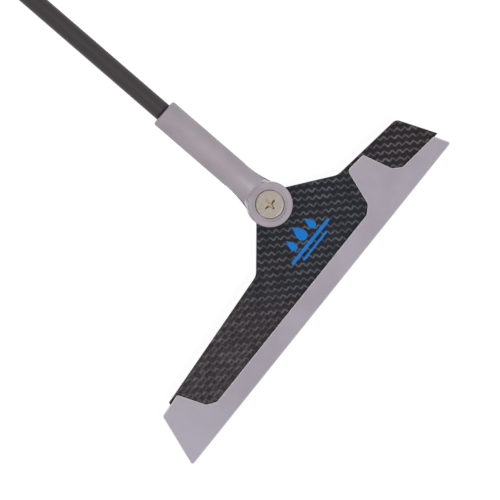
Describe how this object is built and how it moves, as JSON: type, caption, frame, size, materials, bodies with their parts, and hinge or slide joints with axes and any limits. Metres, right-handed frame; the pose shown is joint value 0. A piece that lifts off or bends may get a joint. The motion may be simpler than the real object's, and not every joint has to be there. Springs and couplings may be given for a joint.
{
  "type": "squeegee",
  "caption": "Hand squeegee: flat carbon-look head with a silicone wiping edge, swivelling on a screw in a forked socket at the end of a slim tube handle with a grip and hanging eye.",
  "frame": {"origin": "on the head's swivel axis, in the flat back face of the hinge that the squeegee lies on", "axes": "+Z along the swivel axis, out of the front face; +Y up the handle; +X to the head's short end. At rest, with the joint at zero, the wiping edge is turned 2.1 degrees from +X, as the picture shows the head; -2.1 degrees brings it square to the handle"},
  "size_m": [0.2199, 0.5255, 0.0159],
  "materials": {
    "carbon_plate": "satin-gloss lacquered carbon-fibre laminate, coarse twill weave",
    "silicone": "matte moulded silicone, mauve-grey",
    "grey_moulding": "matte moulded plastic, mauve-grey",
    "nylon_natural": "satin natural nylon, cream",
    "washer_plastic": "smooth white low-friction plastic",
    "stainless_steel": "bright stainless spring steel",
    "tube_dark": "matte dark warm-grey fibre-reinforced tube",
    "grip_rubber": "matte black moulded rubber",
    "print_blue": "blue ink printed on the plate"
  },
  "bodies": {
    "handle": {"handle_socket": "grey_moulding", "pivot_screw": "nylon_natural", "pivot_nut": "nylon_natural", "nut_cover": "grey_moulding", "spring_washer": "stainless_steel", "front_friction_washer": "washer_plastic", "rear_friction_washer": "washer_plastic", "handle_tube": "tube_dark", "grip_sleeve": "grip_rubber", "end_cap": "grey_moulding"},
    "head": {"holder_plate": "carbon_plate", "silicone_blade": "silicone", "pivot_bush": "nylon_natural"}
  },
  "joints": [
    {"name": "head_swivel", "type": "hinge", "parent": "handle", "child": "head", "pos_m": [0, 0, 0.0079], "axis": [0, 0, 1], "range_deg": [-90, 90]}
  ]
}
